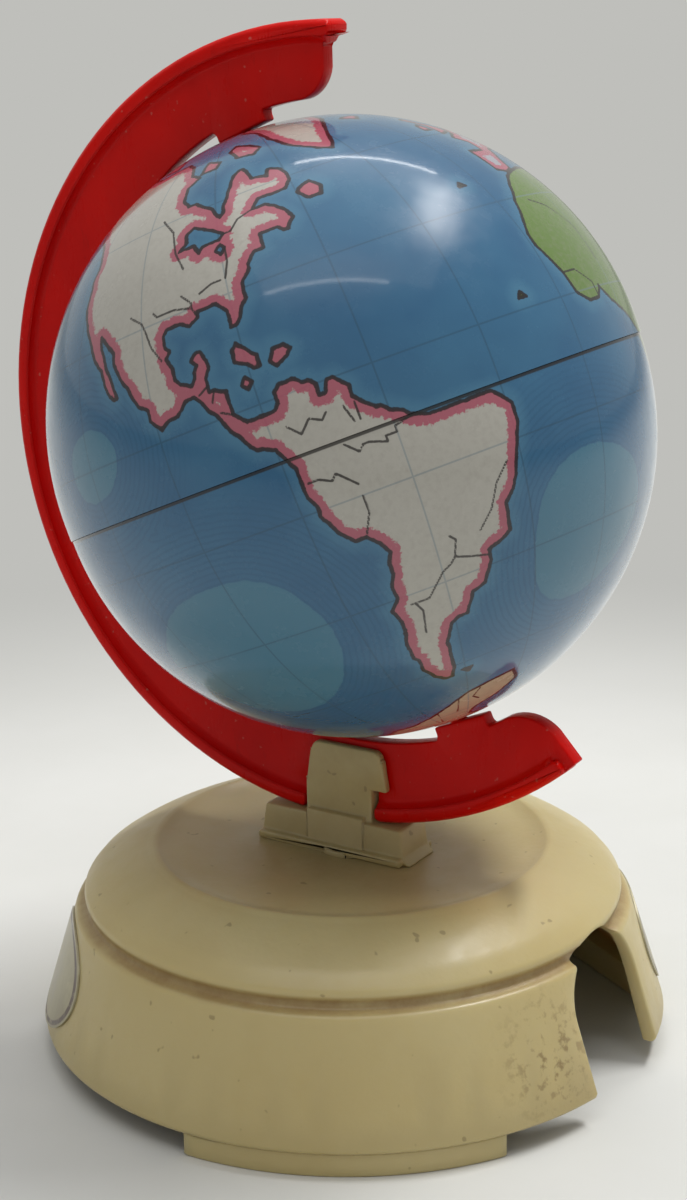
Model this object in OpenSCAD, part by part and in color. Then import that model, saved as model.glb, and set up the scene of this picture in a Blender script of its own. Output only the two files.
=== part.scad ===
// Desk-globe gumball machine: a tin globe in a moulded meridian arm, on a
// hollow moulded stand that holds a turning gumball dispenser.
// Frame: origin on the table at the stand's axis, +Z up, the outlet faces -Y.
// All sizes in millimetres.

/* [Stand shell] */
// Radius of the skirt at its lower edge
skirt_r = 35.9; // [34:0.1:38]
// Height of the skirt's lower edge above the table
skirt_z = 2.5; // [2:0.1:4]
// Radius of the ledge at the skirt's upper end
ledge_r = 32; // [31:0.1:33]
// Height of the ledge
ledge_z = 16.3; // [15.5:0.1:17]
// Width of the ledge round the dome's lower edge
ledge_w = 1.2; // [0.8:0.1:2]
// Height of the dome's lower edge
dome_z = 18; // [17.6:0.1:18.6]
// Radius of the dish's rim
rim_r = 22.6; // [21:0.1:24]
// Height of the dish's rim
rim_z = 23.1; // [22.5:0.1:24.5]
// Depth of the dish below its rim
dish_depth = 1.2; // [0.8:0.1:2]
// Wall of the stand shell
shell_wall = 1.5; // [1.2:0.1:2]

/* [Feet] */
// Number of feet
foot_count = 3; // [3:1:3]
// Distance of the feet's outer side inside the skirt's edge
foot_inset = 0.4; // [0.1:0.1:1]
// Depth of a foot at its middle
foot_depth = 4.3; // [3.6:0.1:4.8]

/* [Outlet] */
// Width of the arched outlet
outlet_w = 14.6; // [13.6:0.1:17]
// Height of the outlet's crown above the table
outlet_top = 18.1; // [17:0.1:18.4]

/* [Labels] */
// Width of a blank oval label along the skirt
label_w = 19; // [14:0.5:22]
// Height of a label
label_h = 12; // [8:0.2:12.2]
// Height of a label's centre
label_z = 9.6; // [9.4:0.1:9.7]
// Thickness of a label
label_t = 0.2; // [0.1:0.05:0.4]
// Bearing of the first label from the outlet, in degrees
label_bearing = 41; // [36:1:60]

/* [Post] */
// Width of the post's cheeks at their top
cheek_top_w = 9.2; // [8:0.1:11]
// Width of the post's cheeks at their lower end
cheek_low_w = 10.6; // [9:0.1:12]
// Thickness of the post across the arm
post_t = 4.2; // [3.8:0.1:5]
// Distance of the cheeks' top below the web's inner edge
cheek_drop = 0.65; // [0.3:0.05:1.6]
// Height of the slot's floor above the arm's underside
slot_lift = 3.8; // [3.2:0.1:4.1]
// Height of the cheeks' lower end above the slot's floor
cheek_lift = 0.4; // [0.2:0.1:0.9]
// Width of the column under the cheeks
column_w = 8.7; // [7:0.1:9]
// Thickness of the pilaster at the column's foot
pilaster_t = 6.2; // [5.8:0.1:7]
// Length of the plinth under the column
plinth_l = 19; // [16:0.5:22]
// Width of the plinth
plinth_w = 5.6; // [5:0.1:6]
// Radius of the post's spigot in the stand's bore
spigot_r = 4; // [3.8:0.1:4.4]

/* [Meridian arm] */
// Height of the arm's underside above the table
arm_z = 25.7; // [25.5:0.1:26.2]
// Outer radius of the arm
arm_r = 44; // [43:0.1:45]
// Gap between the globe and the inner edge of the arm's web
web_gap = 1.8; // [1.4:0.1:2.4]
// Thickness of the web
web_t = 2; // [1.6:0.1:2.4]
// Width of the outer flange
flange_w = 4; // [3.4:0.1:5]
// Thickness of the outer flange
flange_t = 1.7; // [1.4:0.1:2.2]
// Angle of the arm's north end on its own circle
arm_north = 90.6; // [86:0.2:96]
// Angle of the arm's south end on its own circle
arm_south = -47.5; // [-50:0.5:-45]
// Corner radius of the arm's north end
north_corner = 3.9; // [2.5:0.1:4.5]
// Corner radius of the arm's south end
south_corner = 5.2; // [3.5:0.1:5.6]
// Distance of the arm's centre behind the globe's centre
arm_shift = 2.15; // [1.6:0.05:2.6]
// Length of a pole lug along the arm
lug_w = 6.6; // [5.6:0.1:8]
// Radius of a pole stud
stud_r = 0.9; // [0.7:0.05:0.95]
// Length of a pole stud past its lug
stud_l = 2.6; // [1.6:0.1:3.4]

/* [Globe] */
// Outer radius of the southern half
globe_r = 32.5; // [32:0.1:32.8]
// Extra radius of the northern half, which caps the southern one
cap_step = 0.15; // [0.1:0.05:0.25]
// Length of the northern half's straight band
band_h = 1.8; // [1:0.1:2.4]
// Thickness of the tinplate
tin_t = 0.3; // [0.25:0.05:0.4]
// Distance of the globe's centre in front of the stand's axis
globe_x = 1.25; // [0.5:0.05:2]
// Tilt of the polar axis from upright, in degrees
tilt = 23; // [20:0.5:24]

/* [Magazine] */
// Inner radius of the gumball cup
cup_r = 20.3; // [20.1:0.1:20.6]
// Wall of the cup
cup_wall = 1.3; // [1:0.1:1.5]
// Height of the underside of the cup
cup_z = 1; // [0.8:0.1:1.2]
// Thickness of the cup's floor
cup_floor = 1.6; // [1.4:0.1:1.8]
// Height of the window's top edge above the cup's floor
window_h = 13.4; // [13.2:0.1:13.8]
// Height of the cup's fixing ears
ear_z = 14; // [13:0.2:15]
// Thickness of an ear
ear_t = 1.6; // [1.2:0.1:2]
// Distance from the axis to the cup screws
ear_pcd_r = 24.4; // [24.2:0.1:25]

/* [Dispensing wheel] */
// Number of gumball pockets
pockets = 5; // [4:1:5]
// Radius of the circle that the gumballs' centres follow
pitch_r = 13.5; // [13.3:0.1:13.7]
// Outer radius of the wheel
wheel_r = 19.8; // [19.2:0.1:20]
// Thickness of the wheel's top plate
plate_t = 1.3; // [1:0.1:1.6]
// Thickness of a fin between two pockets
fin_t = 1.6; // [1.2:0.1:2]
// Radius of the wheel's hub
hub_r = 6.6; // [5.6:0.1:6.8]
// Width across the flats of the spigot's hexagon
hex_af = 5.6; // [5:0.1:6]

/* [Gumballs] */
// Diameter of a gumball
ball_d = 12.7; // [12:0.1:12.9]

/* [Screws] */
// Radius of the wheel screw's shank
screw_r = 1.2; // [1:0.05:1.4]
// Radius of the wheel screw's head
screw_head_r = 2.4; // [2:0.1:2.8]
// Height of the wheel screw's head
screw_head_h = 1.5; // [1.2:0.1:1.6]
// Length of the wheel screw's shank
screw_l = 8; // [6:0.5:10]
// Radius of the washer
washer_r = 4; // [3.5:0.1:5]
// Thickness of the washer
washer_t = 0.6; // [0.5:0.05:0.8]
// Radius of a cup screw's shank
cup_screw_r = 1; // [0.8:0.05:1.2]
// Length of a cup screw's shank
cup_screw_l = 5; // [4:0.5:5.5]

/* [Fits] */
// Radial clearance of a part that turns
run_fit = 0.05; // [0.02:0.01:0.1]
// Clearance between pieces that are pushed together
push_fit = 0.03; // [0.02:0.01:0.06]
// Play round a moving part that touches nothing
play = 0.3; // [0.2:0.05:0.4]

/* [Hidden] */

ivory = "#d8cda2";
red = "#c41208";
steel = "#b9bcc0";

eps = 0.01;
past = 1;
fine = 128;
mid = 64;
small = 32;

// Stand: the outer profile, from the skirt up to the dish
skirt_round = 0.8;
ledge_round = 0.7;
dome_r = ledge_r - ledge_w;
groove_in = 0.3;
groove_low = 0.25;
groove_high = 0.6;
shoulder_share = 0.55;
dome_edge = 1;
dome_lift = 0.8;
dome_bulge = 2.2;
dish_z = rim_z - dish_depth;
dish_r = rim_r - 2.6;
dish_flat_r = 11;
dish_rise = dish_depth / 2;
rim_round = 1.2;
roof_z = dish_z - shell_wall;
boss_r = spigot_r + 2.4;
boss_h = 1.2;
boss_root = 0.6;
foot_step = 360 / foot_count;
foot_r = skirt_r - foot_inset;
foot_chord = foot_r - foot_depth;
foot_overlap = 1;
outlet_spring = outlet_top - outlet_w / 2;
slant = atan2(skirt_r - ledge_r, ledge_z - skirt_z);
skirt_foot = [skirt_r, skirt_z + skirt_round];
skirt_head = [ledge_r, ledge_z] + ledge_round * [cos(slant) - 1, sin(slant) - 1];
outlet_in = 8;
outlet_out = 5;

// Arm circle and globe, in the plane of the arm: forward, up
globe_z = arm_z + arm_r;
globe_c = [globe_x, globe_z];
arm_c = [globe_x - arm_shift, globe_z];
north_dir = 90 + tilt;
south_dir = north_dir - 180;
seat_gap = 0.05;
post_mid = 0.6;
column_mid = -0.45;
pilaster_in = 0.6;
plinth_mid = -1;
plinth_draft = 0.5;
toe = 0.9;
cheek_round = 1.1;
slot_depth = 10;
screw_tip_play = 0.5;
slot_w = web_t + 2 * push_fit;
lug_shift = 0.5;
stud_root = 2;
lug_fillet = 0.9;
lug_gap = 0.35;
cap_r = globe_r + cap_step;
north_pole_r = cap_r + band_h;
inner_r = cap_r + web_gap;
cheek_top_z = globe_z - inner_r - cheek_drop;
slot_z = arm_z + slot_lift;
cheek_low_z = slot_z + cheek_lift;
plinth_z = arm_z + play;
cap_c = globe_c + band_h * [cos(north_dir), sin(north_dir)];
notch_round = 1.4;
flange_lip = 1.6;
end_round = 0.7;
edge_round = 0.5;
web_fillet = 0.7;
web_inset = 0.1;
overlap = 0.03;
flange_in = arm_r - flange_t;
notch_back = column_mid - column_w / 2 - play;
notch_front = column_mid + column_w / 2 + play;

// Globe halves, on their own axis with the seam at zero
neck_r = cap_r - tin_t - push_fit;
neck_h = 2.2;
seam_gap = 0.05;
bead = 0.03;
pole_hole_r = stud_r + run_fit;

// Dispenser
floor_z = cup_z + cup_floor;
ball_r = ball_d / 2;
ball_play = 0.15;
ball_z = floor_z + ball_play + ball_r;
plate_z = ball_z + ball_r + play;
boss_z = roof_z - boss_h;
wheel_gap = 0.2;
wheel_top = boss_z - wheel_gap;
hub_lift = 4.4;
hub_z = floor_z + hub_lift;
hub_floor = 2;
fin_lift = 1.3;
fin_spread = 1.7;
hex_r = hex_af / 2 / cos(30);
hex_z = hub_z + hub_floor;
window_play = 0.4;
window_w = ball_d + 2 * window_play;
ramp_drop = 1;
ramp_in = 9;
ramp_l = cup_r + cup_wall - ramp_in;
ramp_run = ramp_l + 2 * past;
ear_r = 2.3;
cup_screw_head_r = 1.9;
cup_screw_head_h = 1.2;
ear_fit = 0.1;
cup_screw_play = 0.3;
head_edge = 0.4;
head_taper = 0.8;
slot_share = 0.5;
slot_sink = 0.35;
screw_boss_r = 2.2;
cup_top = roof_z - play;

module on_ring(count, radius, first = 0) {
    for (i = [0 : count - 1]) rotate([0, 0, first + i * 360 / count])
        translate([0, -radius, 0]) children();
}

// Draws an outline whose X is forward (-Y) and whose Y is up, as a plate of thickness t
module in_arm_plane(t) {
    rotate([90, 0, -90]) linear_extrude(t, center = true) children();
}

// Outer outline of the stand; inset moves it in to make the hollow
module stand_outline(inset) {
    r0 = skirt_r - inset / cos(slant);
    r1 = ledge_r - inset / cos(slant);
    low = skirt_z - (inset > 0 ? past : 0);
    polygon(concat(
        [[0, low]],
        inset > 0 ? [[r0 + past * tan(slant), low]]
            : [for (a = [-90 : 30 : 0]) [r0 - skirt_round + skirt_round * cos(a),
                low + skirt_round + skirt_round * sin(a)]],
        inset > 0 ? [[r1, ledge_z - inset * shoulder_share]]
            : [for (a = [slant : (90 - slant) / 4 : 90]) [r1 - ledge_round + ledge_round * cos(a),
                ledge_z - ledge_round + ledge_round * sin(a)]],
        inset > 0 ? [] : [for (z = [ledge_z + groove_low, dome_z - groove_high]) [dome_r - groove_in, z]],
        dome_curve(inset),
        [for (k = [0 : 0.2 : 1]) [dish_r - (dish_r - dish_flat_r) * k,
            dish_z - inset + dish_rise * pow(1 - k, 2)]],
        [[0, dish_z - inset]]));
}

// The dome's shoulder, its long slope and the rounded rim of the dish
function dome_curve(inset) = let (
    edge = [dome_r - inset, dome_z - inset * dome_lift], rim = [rim_r, rim_z - inset])
    concat(
        [for (a = [-20 : 20 : 60]) edge + dome_edge * [cos(a) - 1, sin(a)]],
        [for (k = [0.125 : 0.125 : 0.875]) [
            edge[0] + (rim[0] - edge[0]) * k,
            edge[1] + dome_lift + (rim[1] - edge[1] - dome_lift) * k + dome_bulge * k * (1 - k)]],
        [for (a = [55 : 20 : 135]) rim + rim_round * [cos(a), sin(a) - 1]]);

module outlet_outline() {
    translate([-outlet_w / 2, -eps]) square([outlet_w, outlet_spring + eps]);
    translate([0, outlet_spring]) circle(outlet_w / 2, $fn = mid);
}

module stand_shell() {
    color(ivory) difference() {
        union() {
            difference() {
                rotate_extrude($fn = fine) stand_outline(0);
                rotate_extrude($fn = fine) stand_outline(shell_wall);
            }
            // The boss that carries the post's spigot
            translate([0, 0, boss_z]) cylinder(h = dish_z - boss_z - eps, r = boss_r, $fn = mid);
            // Bosses for the cup's screws, under the dome
            on_ring(foot_count, ear_pcd_r, foot_step / 2) translate([0, 0, ear_z + ear_t])
                cylinder(h = roof_z + boss_root - ear_z - ear_t, r = screw_boss_r, $fn = small);
            feet();
        }
        translate([0, 0, boss_z - eps])
            cylinder(h = shell_wall + boss_h + past, r = spigot_r + run_fit, $fn = mid);
        on_ring(foot_count, ear_pcd_r, foot_step / 2) translate([0, 0, ear_z + ear_t - eps])
            cylinder(h = cup_screw_l - ear_t + cup_screw_play, r = cup_screw_r + push_fit, $fn = small);
        translate([0, -foot_chord + outlet_in, 0]) rotate([90, 0, 0])
            linear_extrude(outlet_in + foot_depth + outlet_out) outlet_outline();
    }
}

// Each foot is the piece of a disc outside a chord
module feet() {
    for (i = [0 : foot_count - 1]) rotate([0, 0, foot_step / 2 + i * foot_step])
        intersection() {
            cylinder(h = skirt_z + foot_overlap, r = foot_r, $fn = fine);
            translate([-foot_r, -foot_chord - foot_r, -past])
                cube([2 * foot_r, foot_r, skirt_z + foot_overlap + 2 * past]);
        }
}

// An oval cut out of a thin skin on the skirt
module label(bearing) {
    rotate([0, 0, bearing]) intersection() {
        difference() {
            skirt_cone(push_fit + label_t);
            skirt_cone(push_fit);
        }
        translate([0, 0, label_z]) rotate([90, 0, 0]) linear_extrude(skirt_r + 2 * past)
            scale([label_w / label_h, 1]) circle(label_h / 2, $fn = mid);
    }
}

module skirt_cone(out) {
    translate([0, 0, skirt_foot[1]]) cylinder(h = skirt_head[1] - skirt_foot[1],
        r1 = skirt_foot[0] + out, r2 = skirt_head[0] + out, $fn = fine);
}

module label_front() { color("#cfc8b4") label(label_bearing); }
module label_rear() { color("#cfc8b4") label(label_bearing + 180); }

// Cup under the dish: it holds the gumballs round the wheel
module gumball_cup() {
    color(ivory) difference() {
        union() {
            translate([0, 0, cup_z]) cylinder(h = cup_top - cup_z, r = cup_r + cup_wall, $fn = fine);
            on_ring(foot_count, ear_pcd_r, foot_step / 2) translate([0, 0, ear_z]) ear();
        }
        translate([0, 0, floor_z]) cylinder(h = cup_top, r = cup_r, $fn = fine);
        on_ring(foot_count, ear_pcd_r, foot_step / 2) translate([0, 0, ear_z - eps])
            cylinder(h = ear_t + 2 * eps, r = cup_screw_r + ear_fit, $fn = small);
        // The window, and the ramp that the gumball rolls down to it
        rotate([90, 0, -90]) linear_extrude(window_w, center = true) polygon([
            [ramp_in, floor_z], [ramp_in + ramp_run, floor_z - ramp_run * ramp_drop / ramp_l],
            [ramp_in + ramp_run, floor_z + window_h], [ramp_in, floor_z + window_h]]);
    }
}

module ear() {
    cylinder(h = ear_t, r = ear_r, $fn = small);
    translate([-ear_r, 0, 0]) cube([2 * ear_r, ear_pcd_r - cup_r - cup_wall / 2, ear_t]);
}

module pan_screw(shank_r, shank_l, head_r, head_h) {
    cylinder(h = shank_l, r = shank_r, $fn = small);
    translate([0, 0, -head_h]) difference() {
        union() {
            cylinder(h = head_h * head_edge, r1 = head_r * head_taper, r2 = head_r, $fn = small);
            translate([0, 0, head_h * head_edge])
                cylinder(h = head_h * (1 - head_edge), r = head_r, $fn = small);
        }
        translate([-head_r, -shank_r * slot_share / 2, -eps])
            cube([2 * head_r, shank_r * slot_share, head_h * slot_sink]);
    }
}

module cup_screws() {
    color(steel) on_ring(foot_count, ear_pcd_r, foot_step / 2) translate([0, 0, ear_z])
        pan_screw(cup_screw_r, cup_screw_l, cup_screw_head_r, cup_screw_head_h);
}

// Star wheel: a top plate, fins between the pockets and a hub with a hexagonal socket
module dispensing_wheel() {
    color("#c9c2a0") difference() {
        union() {
            translate([0, 0, plate_z]) cylinder(h = plate_t, r = wheel_r, $fn = fine);
            translate([0, 0, hub_z]) cylinder(h = wheel_top - hub_z, r = hub_r, $fn = mid);
            intersection() {
                for (i = [0 : pockets - 1]) rotate([0, 0, (i + 0.5) * 360 / pockets]) fin();
                translate([0, 0, floor_z]) cylinder(h = plate_z, r = wheel_r, $fn = fine);
            }
        }
        translate([0, 0, hex_z]) cylinder(h = wheel_top, r = hex_r + push_fit, $fn = 6);
        translate([0, 0, hub_z - eps]) cylinder(h = hex_z, r = screw_r + push_fit, $fn = small);
    }
}

// A fin widens towards the rim, so that each pocket wraps its ball
module fin() {
    w = fin_t / 2;
    v = fin_t * fin_spread;
    root = washer_r + play;
    tip = wheel_r + past;
    translate([0, 0, floor_z + fin_lift]) linear_extrude(plate_z + eps - floor_z - fin_lift)
        polygon([[-w, -root], [w, -root], [w, -pitch_r], [v, -tip], [-v, -tip], [-w, -pitch_r]]);
}

module wheel_washer() {
    color(steel) translate([0, 0, hub_z - washer_t - eps]) difference() {
        cylinder(h = washer_t, r = washer_r, $fn = mid);
        translate([0, 0, -past]) cylinder(h = washer_t + 2 * past, r = screw_r + push_fit, $fn = small);
    }
}

module wheel_screw() {
    color(steel) translate([0, 0, hub_z - washer_t - 2 * eps])
        pan_screw(screw_r, screw_l, screw_head_r, screw_head_h);
}

// Every pocket is loaded except the one at the window
module gumballs() {
    color("#d8452f") for (i = [1 : pockets - 1]) rotate([0, 0, i * 360 / pockets])
        translate([0, -pitch_r, ball_z]) sphere(ball_r, $fn = mid);
}

module cheek_outline() {
    r = cheek_round;
    intersection() {
        polygon([[post_mid - cheek_low_w / 2, cheek_low_z], [post_mid + cheek_low_w / 2, cheek_low_z],
            [post_mid + cheek_top_w / 2, cheek_top_z], [post_mid - cheek_top_w / 2, cheek_top_z]]);
        union() {
            translate([post_mid - cheek_low_w, cheek_low_z])
                square([2 * cheek_low_w, cheek_top_z - r - cheek_low_z]);
            translate([post_mid - cheek_top_w / 2 + r, cheek_low_z])
                square([cheek_top_w - 2 * r, cheek_top_z - cheek_low_z]);
            for (s = [-1, 1]) translate([post_mid + s * (cheek_top_w / 2 - r), cheek_top_z - r])
                circle(r, $fn = small);
        }
    }
}

// Post: forked cheeks that hold the arm's web, on a column, a plinth and a spigot
module stand_post() {
    base_z = dish_z + seat_gap;
    color(ivory) difference() {
        union() {
            in_arm_plane(post_t) cheek_outline();
            in_arm_plane(post_t) translate([column_mid - column_w / 2, base_z])
                square([column_w, cheek_low_z + eps - base_z]);
            in_arm_plane(pilaster_t) translate([column_mid - column_w / 2 + pilaster_in, base_z])
                square([column_w - 2 * pilaster_in, plinth_z + pilaster_in - base_z]);
            plinth(base_z);
            translate([0, 0, wheel_top])
                cylinder(h = base_z + toe / 2 - wheel_top, r = spigot_r, $fn = mid);
            translate([0, 0, hex_z + seat_gap]) cylinder(h = wheel_top + eps - hex_z, r = hex_r, $fn = 6);
        }
        in_arm_plane(slot_w) translate([-cheek_low_w, slot_z]) square([2 * cheek_low_w, slot_depth]);
        translate([0, 0, hex_z])
            cylinder(h = screw_l - (hex_z - hub_z) + screw_tip_play, r = screw_r + push_fit, $fn = small);
    }
}

// Plinth block along the arm, with a flared toe round its foot
module plinth(base_z) {
    back = plinth_mid - plinth_l / 2;
    front = plinth_mid + plinth_l / 2;
    in_arm_plane(plinth_w) polygon([[back - toe, base_z], [front + toe, base_z], [front, base_z + toe],
        [front - plinth_draft, plinth_z], [back + plinth_draft, plinth_z], [back, base_z + toe]]);
    translate([0, -plinth_mid, base_z + toe / 2])
        cube([plinth_w + 2 * toe, plinth_l, toe], center = true);
}

// Region between two angles round the arm's centre
module sector(a0, a1, r) {
    step = (a1 - a0) / 8;
    polygon(concat([[0, 0]],
        [for (a = [a0 : step : a1 + step / 2]) r / cos(step / 2) * [cos(a), sin(a)]]));
}

// Inside of the arm: the outlines of the globe's two halves, let out by the gap
module inner_cut() {
    translate(globe_c) circle(inner_r, $fn = 2 * fine);
    translate(cap_c) circle(inner_r, $fn = 2 * fine);
}

// Takes the sharp corner off between an end of the web and its inner edge, where
// centre is the inner edge's centre and side is 1 or -1 for the way into the arm
module end_corner(angle, side, centre, r) {
    along = [cos(angle), sin(angle)];
    into = side * [-sin(angle), cos(angle)];
    w = arm_c + into * (r - overlap) - centre;
    s = -(w * along) + sqrt(pow(w * along, 2) - w * w + pow(inner_r + r - overlap, 2));
    c = centre + w + along * s;
    difference() {
        polygon([c, c - into * (r + past), c - into * (r + past) - along * 2 * r,
            centre + (c - centre) * (inner_r - past) / (inner_r + r)]);
        translate(c) circle(r, $fn = mid);
    }
}

// A lug that reaches from the web to a pole, with filleted roots
module lug_outline(dir, tip_r, root_r, shift) {
    translate(globe_c) rotate(dir - 90) translate([shift, 0]) difference() {
        translate([-lug_w / 2 - lug_fillet, tip_r])
            square([lug_w + 2 * lug_fillet, root_r + lug_fillet - tip_r]);
        for (s = [-1, 1]) translate([s * (lug_w / 2 + lug_fillet), root_r - lug_fillet]) {
            circle(lug_fillet, $fn = small);
            translate([-lug_fillet, tip_r - root_r]) square([2 * lug_fillet, root_r - tip_r]);
        }
    }
}

module web_outline() {
    difference() {
        translate(arm_c) circle(arm_r - web_inset, $fn = 2 * fine);
        inner_cut();
        translate(arm_c) sector(arm_south, arm_north, 2 * arm_r);
        end_corner(arm_north, 1, cap_c, north_corner);
        end_corner(arm_south, -1, globe_c, south_corner);
    }
    lug_outline(north_dir, north_pole_r + lug_gap, inner_r + band_h, lug_shift);
    lug_outline(south_dir, globe_r + lug_gap, inner_r, -lug_shift);
}

// The flange's section, with its radius as X: broken outer edges, and fillets that run into the web
module flange_section() {
    half = flange_w / 2;
    polygon([[arm_r, half - edge_round], [arm_r - edge_round, half], [flange_in, half],
        [flange_in, web_t / 2 + web_fillet], [flange_in - web_fillet, web_t / 2 - overlap],
        [flange_in - web_fillet, overlap - web_t / 2], [flange_in, -web_t / 2 - web_fillet],
        [flange_in, -half], [arm_r - edge_round, -half], [arm_r, edge_round - half]]);
}

// The flange is turned round the arm's centre, then cut off at both ends
module flange() {
    north = arm_north - flange_lip;
    south = arm_south - flange_lip;
    difference() {
        translate([0, -arm_c[0], arm_c[1]]) rotate([90, 0, -90])
            rotate_extrude($fn = 2 * fine) flange_section();
        in_arm_plane(flange_w + 2 * past) {
            translate(arm_c) sector(south, north, 2 * arm_r);
            flange_end(north, 1);
            flange_end(south, -1);
        }
    }
}

// Rounds both corners of a cut end of the flange; side is 1 or -1 for the way into the arm
module flange_end(angle, side) {
    translate(arm_c) rotate(angle) scale([1, side])
        for (s = [[flange_in - overlap, 1], [arm_r + overlap, -1]]) translate([s[0], 0]) difference() {
            translate([-end_round, -past]) square([2 * end_round, past + end_round]);
            translate([s[1] * end_round, end_round]) circle(end_round, $fn = small);
        }
}

// The notch that lets the post through, with the flange's cut ends rounded
module notch_outline() {
    low = arm_c[1] - arm_r;
    translate([notch_back, low - past]) square([notch_front - notch_back, slot_z + push_fit + past - low]);
    for (s = [[notch_back, -1], [notch_front, 1]]) translate([s[0], low]) difference() {
        translate([-notch_round, -past]) square([2 * notch_round, past + notch_round]);
        translate([s[1] * notch_round, notch_round]) circle(notch_round, $fn = small);
    }
}

// Meridian arm: a web with an outer flange, and a stud at each pole
module meridian_arm() {
    color(red) {
        difference() {
            union() {
                in_arm_plane(web_t) web_outline();
                flange();
            }
            in_arm_plane(flange_w + 2 * past) notch_outline();
        }
        pole_stud(north_dir, north_pole_r + lug_gap);
        pole_stud(south_dir, globe_r + lug_gap);
    }
}

// A round stud on the globe's axis, from the lug into the pole hole
module pole_stud(dir, tip_r) {
    translate([0, -globe_c[0], globe_c[1]]) rotate([90 - dir, 0, 0])
        translate([0, 0, tip_r - stud_l]) cylinder(h = stud_l + stud_root, r = stud_r, $fn = mid);
}

module on_globe_axis() {
    translate([0, -globe_c[0], globe_c[1]]) rotate([-tilt, 0, 0]) children();
}

// Southern half: a hemisphere with a drawn-in neck that plugs into the northern half
module globe_south_half() {
    color("#3f83b8") on_globe_axis() difference() {
        union() {
            difference() {
                sphere(globe_r, $fn = fine);
                translate([-cap_r, -cap_r, -seam_gap]) cube([2 * cap_r, 2 * cap_r, 2 * cap_r]);
            }
            translate([0, 0, -past]) cylinder(h = past + neck_h, r = neck_r, $fn = fine);
        }
        difference() {
            sphere(globe_r - tin_t, $fn = fine);
            translate([-cap_r, -cap_r, -past]) cube([2 * cap_r, 2 * cap_r, 2 * cap_r]);
        }
        translate([0, 0, -past - eps]) cylinder(h = 2 * past + neck_h, r = neck_r - tin_t, $fn = fine);
        translate([0, 0, -globe_r - past]) cylinder(h = 4 * past, r = pole_hole_r, $fn = mid);
    }
}

// Northern half: a hemisphere on a short straight band that caps the southern neck
module globe_north_half() {
    color("#4a90c4") on_globe_axis() difference() {
        union() {
            cylinder(h = band_h, r = cap_r, $fn = fine);
            translate([0, 0, band_h]) difference() {
                sphere(cap_r - bead, $fn = fine);
                translate([-2 * cap_r, -2 * cap_r, -2 * cap_r]) cube([4 * cap_r, 4 * cap_r, 2 * cap_r]);
            }
        }
        translate([0, 0, -eps]) cylinder(h = band_h + 2 * eps, r = cap_r - tin_t, $fn = fine);
        translate([0, 0, band_h]) difference() {
            sphere(cap_r - bead - tin_t, $fn = fine);
            translate([-cap_r, -cap_r, -2 * cap_r]) cube([2 * cap_r, 2 * cap_r, 2 * cap_r]);
        }
        translate([0, 0, north_pole_r - 2 * past]) cylinder(h = 4 * past, r = pole_hole_r, $fn = mid);
    }
}

stand_shell();
label_front();
label_rear();
gumball_cup();
cup_screws();
dispensing_wheel();
wheel_washer();
wheel_screw();
gumballs();
stand_post();
meridian_arm();
globe_south_half();
globe_north_half();
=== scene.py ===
import math
import bmesh
import bpy
import numpy as np
from mathutils import Matrix, Vector


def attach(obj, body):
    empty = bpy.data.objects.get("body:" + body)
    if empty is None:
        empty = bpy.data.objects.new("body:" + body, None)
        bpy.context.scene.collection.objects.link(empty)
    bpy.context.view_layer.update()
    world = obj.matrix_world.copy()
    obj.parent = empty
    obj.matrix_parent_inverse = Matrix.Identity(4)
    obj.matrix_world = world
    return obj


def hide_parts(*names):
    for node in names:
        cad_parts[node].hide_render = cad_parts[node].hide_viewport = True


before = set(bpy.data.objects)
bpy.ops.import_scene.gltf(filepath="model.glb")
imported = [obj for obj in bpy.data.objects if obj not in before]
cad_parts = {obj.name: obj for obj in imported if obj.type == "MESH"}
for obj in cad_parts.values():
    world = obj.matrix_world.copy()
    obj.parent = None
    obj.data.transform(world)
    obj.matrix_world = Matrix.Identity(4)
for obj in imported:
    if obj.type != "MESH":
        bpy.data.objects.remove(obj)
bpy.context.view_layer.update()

# ---------------------------------------------------------------------------
# Camera: a long lens close to the toy, a little above the globe and tipped
# down, so that the stand's dish shows and the outlet faces to the right.
# ---------------------------------------------------------------------------
turn = math.radians(-57.634)
yaw, pitch, roll = -0.00219, -0.28565, -0.01743
distance, height = 0.232381, 0.119408


def turned(x, y, z):
    return Vector((x * math.cos(turn) - y * math.sin(turn), x * math.sin(turn) + y * math.cos(turn), z))


ahead = turned(math.sin(yaw) * math.cos(pitch), math.cos(yaw) * math.cos(pitch), math.sin(pitch))
level = turned(math.cos(yaw), -math.sin(yaw), 0)
above = level.cross(ahead)
side = math.cos(roll) * level + math.sin(roll) * above
top = math.cos(roll) * above - math.sin(roll) * level
lens = bpy.data.cameras.new("camera")
lens.sensor_fit = "VERTICAL"
lens.sensor_height = 36
lens.lens = 65.308
lens.clip_start = 0.01
camera = bpy.data.objects.new("camera", lens)
camera.matrix_world = Matrix.Translation(turned(0, -distance, height)) @ Matrix(
    (side, top, -ahead)).transposed().to_4x4()
bpy.context.scene.collection.objects.link(camera)
bpy.context.scene.camera = camera
bpy.context.scene.view_settings.view_transform = "Standard"


# ---------------------------------------------------------------------------
# Stand shell and post: ivory polystyrene, injection moulded and left as it
# came from the mould. It has a satin skin, faint flow clouds, yellowing,
# painted shade in the groove and in the dish, and brown stains beside the outlet.
# ---------------------------------------------------------------------------
def linear(code):
    """An sRGB hex colour as the linear colour that the sockets take."""
    parts = [int(code[i:i + 2], 16) / 255 for i in (1, 3, 5)]
    return [c / 12.92 if c <= 0.04045 else ((c + 0.055) / 1.055) ** 2.4 for c in parts] + [1]


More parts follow.
